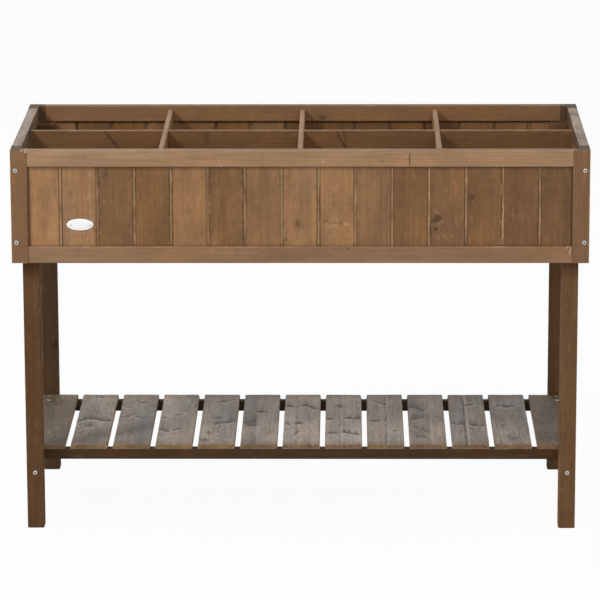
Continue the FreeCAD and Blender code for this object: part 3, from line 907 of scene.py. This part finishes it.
def knot_marks(knot, side, y, seed):
    """Dark heart of a round knot, pale arcs about it and the hollow between them."""
    across, along, radius = knot
    curl = 0.5 * noise((side * 6, y * 45, seed))
    away = math.hypot((side - across) * slat_half * 0.55, (y - along) * 0.5) / radius + curl
    arcs = max(0.0, 0.2 + 1.2 * noise((side * 9, y * 60, seed + 2)))
    bare = min(1.2, 1.6 * arcs) * hump(away - 1.7, 0.4)
    return 0.9 * hump(away, 0.7), bare, hollow_depth * hump(away - 1, 0.4)


def pith_marks(pith, side, y, seed):
    """Dark line of the pith, with a pale edge on its right."""
    across, weight = pith
    off = (side - across) * slat_half + pith_wave * noise((y * 12, seed, 5))
    strength = weight * (0.5 + 0.5 * noise((y * 30, seed, 8)))
    dark = 0.9 * strength * hump(off, pith_dark_half)
    bare = 0.9 * strength * hump(off - pith_edge_off, pith_half)
    return dark, bare, pith_depth * strength * hump(off, pith_half)


def band_marks(band, side, y, seed):
    """Darker heartwood, clouded, with soft edges."""
    start, end, weight = band
    within = min(side - start, end - side) / band_edge
    cloud = 0.8 + 0.7 * noise((side * 2, y * 9, seed))
    return weight * cloud * min(1.0, max(0.0, within)), 0.0, 0.0


def slat_relief(number, middle, seed):
    """Hollows, ridges and marks of one slat, with painted shade and highlights, over a gently waved top.
    """
    tables = (
        (spike_marks, slat_spikes),
        (knot_marks, slat_knots),
        (pith_marks, slat_piths),
        (band_marks, slat_bands),
    )
    features = [(marks_of, row) for marks_of, table in tables for row in table.get(number, ())]

    def relief(place, way):
        side = (place.x - middle) / slat_half
        y = place.y
        if way.z > 0.3:
            return 0.0, {}
        depth = slat_sink + slat_wave * noise((place.x * 25, y * 16, seed * 9))
        if abs(way.x) > 0.3:
            return depth + max(0.0, noise((side, y * 50, seed)) - 0.1) * nick_depth, {}
        dark = 0.0
        bare = 0.0
        for marks_of, row in features:
            more_dark, more_bare, more_depth = marks_of(row, side, y, seed)
            dark += more_dark
            bare += more_bare
            depth += more_depth
        depth = max(0.0, depth)
        for screw_y in shelf_screw_ys:
            away = math.hypot(abs(place.x) - shelf_screw_x, abs(y) - screw_y)
            depth = max(depth, screw_hollow * hump(away, 1.4 * head_radius))
        return depth, {"dark": min(dark, 1.3), "bare": min(bare, 1.0)}

    return relief


def make_slats(material, draw):
    """The slats of the shelf, each with its own knots."""
    for number, share in enumerate(slat_top_light, 1):
        node = f"shelf_slat_{number:02d}"
        solid, = islands_of(node)
        low, high = corners_of(solid)
        seed = draw.random() * 10
        slat = sweep(
            f"slat_{number:02d}", outline_of(solid, 1), 1, high.y - low.y,
            Vector((0, 0, 1)), slat_fine, slat_coarse,
            slat_relief(number, (low.x + high.x) / 2, seed),
        )
        # Slat tops are a grey that is partly painted sheen, and the end slats' tops a darker painted
        # shade
        top = "dun" if number in shaded_end_slats else "grey"
        paint(slat, material, "rind", top, "rind", seed, low, high, share)
        seat(slat, node)
        solid.free()


def make_floor_boards(material, draw):
    """The boards of the box's floor, each with its own grain."""
    for step, solid in enumerate(islands_of("floor_boards")):
        low, high = corners_of(solid)
        seed = draw.random() * 10
        board = sweep(
            f"floor_board_{step + 1:02d}", outline_of(solid, 1), 1, high.y - low.y,
            Vector((0, 0, 1)), 3 * slat_fine, slat_coarse, plank_relief(0, seed, {}, ()),
        )
        stain = draw.choice(("umber", "brown", "walnut"))
        paint(board, material, stain, stain, "bark", seed, low, high)
        seat(board, "floor_boards")
        solid.free()


# Turned pieces

screw_sides = 36
head_height = 0.0032
shank_radius = 0.0025
point_length = 0.005
tip_radius = 0.0004
socket_radius = 0.0021
socket_depth = 0.0026
end_slice = 0.001
plate_middle = Vector((-0.4685, -0.2645, 0.678))
plate_half = (0.0285, 0.0128)
plate_sides = 72
pin_from_middle = 0.0206
pin_sides = 24


def turn(made, profile, sides, matrix, stretch=(1, 1)):
    """Rings of points about Z from a profile of (radius, height), joined up; gives the rings."""
    rings = []
    for radius, height in profile:
        ring = []
        for i in range(sides):
            angle = 2 * math.pi * i / sides
            x = radius * stretch[0] * math.cos(angle)
            y = radius * stretch[1] * math.sin(angle)
            ring.append(made.verts.new(matrix @ Vector((x, y, height))))
        rings.append(ring)
    for upper, lower in zip(rings, rings[1:]):
        join_rings(made, upper, lower)
    return rings


def turn_closed(made, profile, sides, matrix, stretch=(1, 1)):
    """Turned rings with a face over both ends."""
    rings = turn(made, profile, sides, matrix, stretch)
    made.faces.new(rings[0])
    made.faces.new(rings[-1])


def join_rings(made, upper, lower):
    return [
        made.faces.new((upper[i - 1], lower[i - 1], lower[i], upper[i])) for i in range(len(upper))
    ]


def hexagon_ring(made, sides, height, matrix):
    """Points round a hexagon, as many as a ring has."""
    ring = []
    for i in range(sides):
        angle = 2 * math.pi * i / sides
        off_flat = (angle + math.pi / 6) % (math.pi / 3) - math.pi / 6
        radius = socket_radius * math.cos(math.pi / 6) / math.cos(off_flat)
        place = Vector((radius * math.cos(angle), radius * math.sin(angle), height))
        ring.append(made.verts.new(matrix @ place))
    return ring


def add_screw(made, length, matrix):
    """Screw pointing down from the middle of its rounded head, with a hexagon socket."""
    profile = [
        (0.0036, 0), (0.0042, -0.0001), (0.0046, -0.0004), (head_radius, -0.0009),
        (head_radius, -head_height), (shank_radius, -head_height),
        (shank_radius, point_length - length), (tip_radius, -length),
    ]
    rings = turn(made, profile, screw_sides, matrix)
    made.faces.new(rings[-1][::-1])
    mouth = hexagon_ring(made, screw_sides, 0, matrix)
    base = hexagon_ring(made, screw_sides, -socket_depth, matrix)
    join_rings(made, mouth, rings[0])
    walls = join_rings(made, base, mouth)
    for face in (*walls, made.faces.new(base)):
        face.material_index = 1


def finish_mesh(name, made, *materials):
    mesh = bpy.data.meshes.new(name)
    bmesh.ops.recalc_face_normals(made, faces=made.faces)
    made.to_mesh(mesh)
    made.free()
    mesh.shade_smooth()
    mesh.set_sharp_from_angle(angle=turned_sharp)
    for material in materials:
        mesh.materials.append(material)
    return link(bpy.data.objects.new(name, mesh))


def make_screws(node, steel, socket_steel, draw):
    """Rounder screws in the places of a node's facetted ones."""
    made = bmesh.new()
    for solid in islands_of(node):
        low, high = corners_of(solid)
        size = high - low
        axis = max(range(3), key=lambda i: size[i])
        ends = {}
        for sign, level in ((-1, low[axis]), (1, high[axis])):
            near = [v.co for v in solid.verts if abs(v.co[axis] - level) < end_slice]
            ends[sign] = max((p - q).length for p in near for q in near)
        head_sign = max(ends, key=ends.get)
        head = (low + high) / 2
        head[axis] = high[axis] if head_sign > 0 else low[axis]
        way = Vector((0, 0, 0))
        way[axis] = head_sign
        turned = Vector((0, 0, 1)).rotation_difference(way).to_matrix().to_4x4()
        twist = Matrix.Rotation(draw.random() * math.pi, 4, "Z")
        add_screw(made, size[axis], Matrix.Translation(head) @ turned @ twist)
        solid.free()
    seat(finish_mesh(node + "_rounded", made, steel, socket_steel), node)


def make_plate(enamel, steel):
    """Bare oval plate on the front, held by two round-headed pins."""
    forwards = Matrix.Translation(plate_middle) @ Matrix.Rotation(math.pi / 2, 4, "X")
    made = bmesh.new()
    profile = [
        (0.001, 0.0016), (0.4, 0.00155), (0.75, 0.0014), (0.93, 0.0012), (0.975, 0.001),
        (0.993, 0.0007), (1.0, 0.0003), (1.0, 0.0),
    ]
    turn_closed(made, profile, plate_sides, forwards, plate_half)
    plate = finish_mesh("oval_plate", made, enamel)
    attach(plate, "bed")
    made = bmesh.new()
    for side in (-1, 1):
        dome = [(0.0003, 0.0029), (0.001, 0.0028), (0.0017, 0.0024), (0.0022, 0.0017), (0.0022, 0.001)]
        placed = forwards @ Matrix.Translation((side * pin_from_middle, 0, 0))
        turn_closed(made, dome, pin_sides, placed)
    pins = finish_mesh("plate_pins", made, steel)
    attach(pins, "bed")


# Stain of each board that stays as the frame has it, by the first part of a name that fits; some are
# painted shade
board_stains_and_shades = (
    ("front_top_rail", "pale"),
    ("front_bottom_rail", "faded"),
    # Side walls stained darker: painted shade on their inner faces
    ("right_side_", "bark"),
    ("left_side_", "loam"),
    # Back stiles stained darker: painted shade in the back corners
    ("back_left_stile", "bark"),
    ("back_right_stile", "bark"),
    # Back shelf rail near black: painted shade under the shelf
    ("back_shelf_rail", "pitch"),
    ("shelf_rail", "dusk"),
    ("crossbar", "dusk"),
    # Back left leg stained darker: painted shade under the box
    ("back_left_leg", "peat"),
    ("right_leg", "chestnut"),
    ("leg", "bark"),
    ("stile", "cocoa"),
    ("cross_divider", "umber"),
    ("long_divider", "walnut"),
    ("", "brown"),
)
# Stain of the tops that differ, where the grey tops of the side rims are partly painted sheen, and of
# the end grain
board_top_stains_and_sheens = (
    ("left_side_top_rail", "weathered_and_sheen"),
    ("right_side_top_rail", "ashen"),
    ("front_top_rail", "chestnut"),
    ("back_top_rail", "bark"),
)
board_ends = (("stile", "soot"), ("", "bark"))
# Streaks and chips on the stiles, the long divider and the front rails
corner_marks = (
    (-0.6105, 0.7780, 0.0045, 0.013, 0, 0.75, rust_red),
    (-0.6135, 0.7765, 0.0022, 0.012, 0, 0.6, crack_brown),
    (-0.6060, 0.6275, 0.0040, 0.014, 0, 0.3, rust_red),
    (0.6030, 0.7840, 0.0045, 0.014, 0, 0.4, rust_red),
    (-0.5815, 0.8375, 0.0030, 0.004, 0.3, 0.85, raw_wood),
    (-0.5900, 0.8385, 0.0040, 0.002, 0, 0.45, raw_wood),
)
divider_streaks = (
    (-0.418, 0.816, 0.0050, 0.020, -0.79, 0.5, crack_brown),
    (-0.406, 0.800, 0.0045, 0.010, -0.79, 0.6, crack_brown),
    (-0.207, 0.818, 0.0070, 0.018, 0.0, 0.35, crack_brown),
    (0.086, 0.812, 0.0032, 0.022, -0.48, 0.6, crack_brown),
    (0.096, 0.818, 0.0032, 0.016, -0.25, 0.5, crack_brown),
    (0.097, 0.798, 0.0050, 0.008, -0.48, 0.6, crack_brown),
)
rail_marks = (
    (0.2325, 0.820, 0.0022, 0.018, 0, 0.75, crack_brown),
    (0.1730, 0.816, 0.0040, 0.003, 0, 0.35, crack_brown),
    (0.0490, 0.815, 0.0030, 0.003, 0.6, 0.6, raw_wood),
    (-0.1657, 0.8055, 0.0016, 0.003, 0, 0.85, raw_wood),
)
rail_chips = (
    (0.5745, 0.6215, 0.0018, 0.010, 0.2, 0.8, raw_wood),
    (0.5680, 0.6290, 0.0018, 0.004, 0.8, 0.7, raw_wood),
    (0.1016, 0.6265, 0.0028, 0.003, 1.2, 0.6, crack_brown),
)
# Knots on the right rim, and the finish of both side rims
rim_knots = (
    ((0, 0.142, 0.840), 0.009),
    ((0, -0.098, 0.840), 0.008),
    ((0, -0.128, 0.840), 0.009),
)
rim_finish = {
    "density": 0, "rough": 0.55, "gloss": 0.3, "contrast": 1.2, "mottle": 2.6, "sawn": 3.0,
    "pits": 0.35, "wear": 1.4, "raw": silver_wood,
}


def make_board_woods():
    """The wood of each board that stays as the frame has it, by the first part of a name that fits."""
    side_cleats = make_fir("fir_side_cleats", "YZX")
    return (
        ("front_top_rail", make_fir("fir_front_rail", "XZY", density=0, streaks=rail_marks)),
        ("front_bottom_rail", make_fir("fir_low_front_rail", "XZY", streaks=rail_chips)),
        ("back_top_rail", make_fir("fir_back_rail", "XZY", knots=(((0.0445, 0, 0.813), 0.0055),))),
        ("long_divider", make_fir(
            "fir_long_divider", "XZY", density=0, streaks=divider_streaks, streak_y=0,
        )),
        ("cross_divider", make_fir("fir_cross_dividers", "YZX")),
        ("left_side_top_rail", make_fir("fir_left_rim", "YZX", **rim_finish)),
        ("right_side_top_rail", make_fir("fir_right_rim", "YZX", knots=rim_knots, **rim_finish)),
        ("side_bottom_rail", make_fir("fir_low_side_rails", "YZX")),
        ("left_floor_cleat", side_cleats),
        ("right_floor_cleat", side_cleats),
        ("crossbar", make_fir("fir_crossbars", "YZX", rough=0.8, gloss=0.2, wear=0.15)),
        ("shelf_rail", make_fir("fir_shelf_rails", "XZY", rough=0.8, gloss=0.2, wear=0.15)),
        ("leg", make_fir("fir_legs", "ZXY", rough=0.8, gloss=0.15, wear=0.3)),
        ("side_", make_fir("fir_side_stiles", "ZYX")),
        ("stile", make_fir("fir_stiles", "ZXY", density=0, streaks=corner_marks)),
        ("", make_fir("fir_rails", "XZY")),
    )


def first_fit(table, name, otherwise=None):
    """What a table gives for the first part of a name that fits."""
    return next((found for part, found in table if part in name), otherwise)


def dress():
    draw = random.Random(draw_seed)
    board_woods = make_board_woods()
    steel = make_mottled("zinc_plated_steel", 900, (0.43, 0.60), (0.32, 0.47), 1.0)
    socket_steel = make_mottled("socket_steel", 900, (0.12, 0.2), (0.55, 0.70), 1.0)
    enamel = make_mottled("white_enamel", 400, (0.82, 0.90), (0.28, 0.4), 0.0)
    for name, made in nodes.items():
        if name.endswith("screws"):
            make_screws(name, steel, socket_steel, draw)
        elif not name.endswith("planks") and "slat" not in name and name != "floor_boards":
            low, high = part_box(name)
            stain = first_fit(board_stains_and_shades, name)
            wood = first_fit(board_woods, name)
            end = first_fit(board_ends, name)
            top = first_fit(board_top_stains_and_sheens, name, stain)
            paint(made, wood, stain, top, end, draw.random() * 10, low, high)
    front = make_fir(
        "fir_front_planks", "ZXY", knots=front_knots, density=0, contrast=0.8, mottle=1.7, sawn=2.2,
        pits=0.3, tongued=True, scar_and_shade=plank_scar_and_shade, streaks=plank_streaks,
    )
    back = make_fir("fir_back_planks", "ZXY", tongued=True)
    sides = make_fir("fir_side_planks", "ZYX", tongued=True)
    make_planks("front", "ZXY", (0, -1, 0), front, draw)
    make_planks("back", "ZXY", (0, 1, 0), back, draw)
    make_planks("left_side", "ZYX", (-1, 0, 0), sides, draw)
    make_planks("right_side", "ZYX", (1, 0, 0), sides, draw)
    slats = make_fir(
        "fir_slats", "YXZ", density=0, rough=0.6, gloss=0.28, contrast=0.9, mottle=2.4, sawn=2.0,
        pits=0.7, soak=0.6, raw=silver_wood, scar_and_shade=slat_scar_and_shade,
    )
    make_slats(slats, draw)
    make_floor_boards(make_fir("fir_floor", "YXZ", density=0.15), draw)
    make_plate(enamel, steel)


def make_camera():
    data = bpy.data.cameras.new("camera")
    data.lens = camera_lens
    data.clip_end = camera_reach
    camera = link(bpy.data.objects.new("camera", data))
    camera.location = camera_place
    aimed = Euler((math.pi / 2 - camera_pitch, 0, camera_yaw)).to_matrix()
    camera.rotation_euler = (aimed @ Matrix.Rotation(camera_roll, 3, "Z")).to_euler()
    bpy.context.scene.camera = camera


def make_floor():
    mesh = bpy.data.meshes.new("floor")
    half = floor_size / 2
    corners = [(-half, -half, 0), (half, -half, 0), (half, half, 0), (-half, half, 0)]
    mesh.from_pydata(corners, [], [(0, 1, 2, 3)])
    floor = link(bpy.data.objects.new("floor", mesh))
    shader = Shader(bpy.data.materials.new("floor"))
    shader.fill(shader.surface, {"Base Color": floor_colour, "Roughness": 1.0})
    share = shader.times(shader.in_view(), floor_white_share)
    white = shader.node("Emission", {"Color": (1, 1, 1, 1), "Strength": 1.0})
    mixed = shader.node("MixShader", {0: share, 1: shader.surface.outputs[0], 2: white.outputs[0]})
    output = shader.tree.nodes["Material Output"]
    shader.feed(output.inputs["Surface"], mixed.outputs[0])
    mesh.materials.append(shader.owner)


def make_world():
    world = bpy.data.worlds.new("studio")
    bpy.context.scene.world = world
    shader = Shader(world, "Background")
    strength = shader.math("MULTIPLY_ADD", shader.in_view(), 1.0 - world_light, world_light)
    shader.fill(shader.surface, {"Color": (1, 1, 1, 1), "Strength": strength})


def make_light(name, place, size, power):
    data = bpy.data.lights.new(name, "AREA")
    data.size = size
    data.energy = power
    light = link(bpy.data.objects.new(name, data))
    light.location = place
    way = [t - p for t, p in zip(aim_point, light.location)]
    flat = math.hypot(way[0], way[1])
    light.rotation_euler = (math.atan2(flat, -way[2]), 0, math.atan2(-way[0], way[1]))


dress()
make_camera()
make_floor()
make_world()
for lamp in lamps:
    make_light(*lamp)
bpy.context.scene.view_settings.view_transform = "Standard"
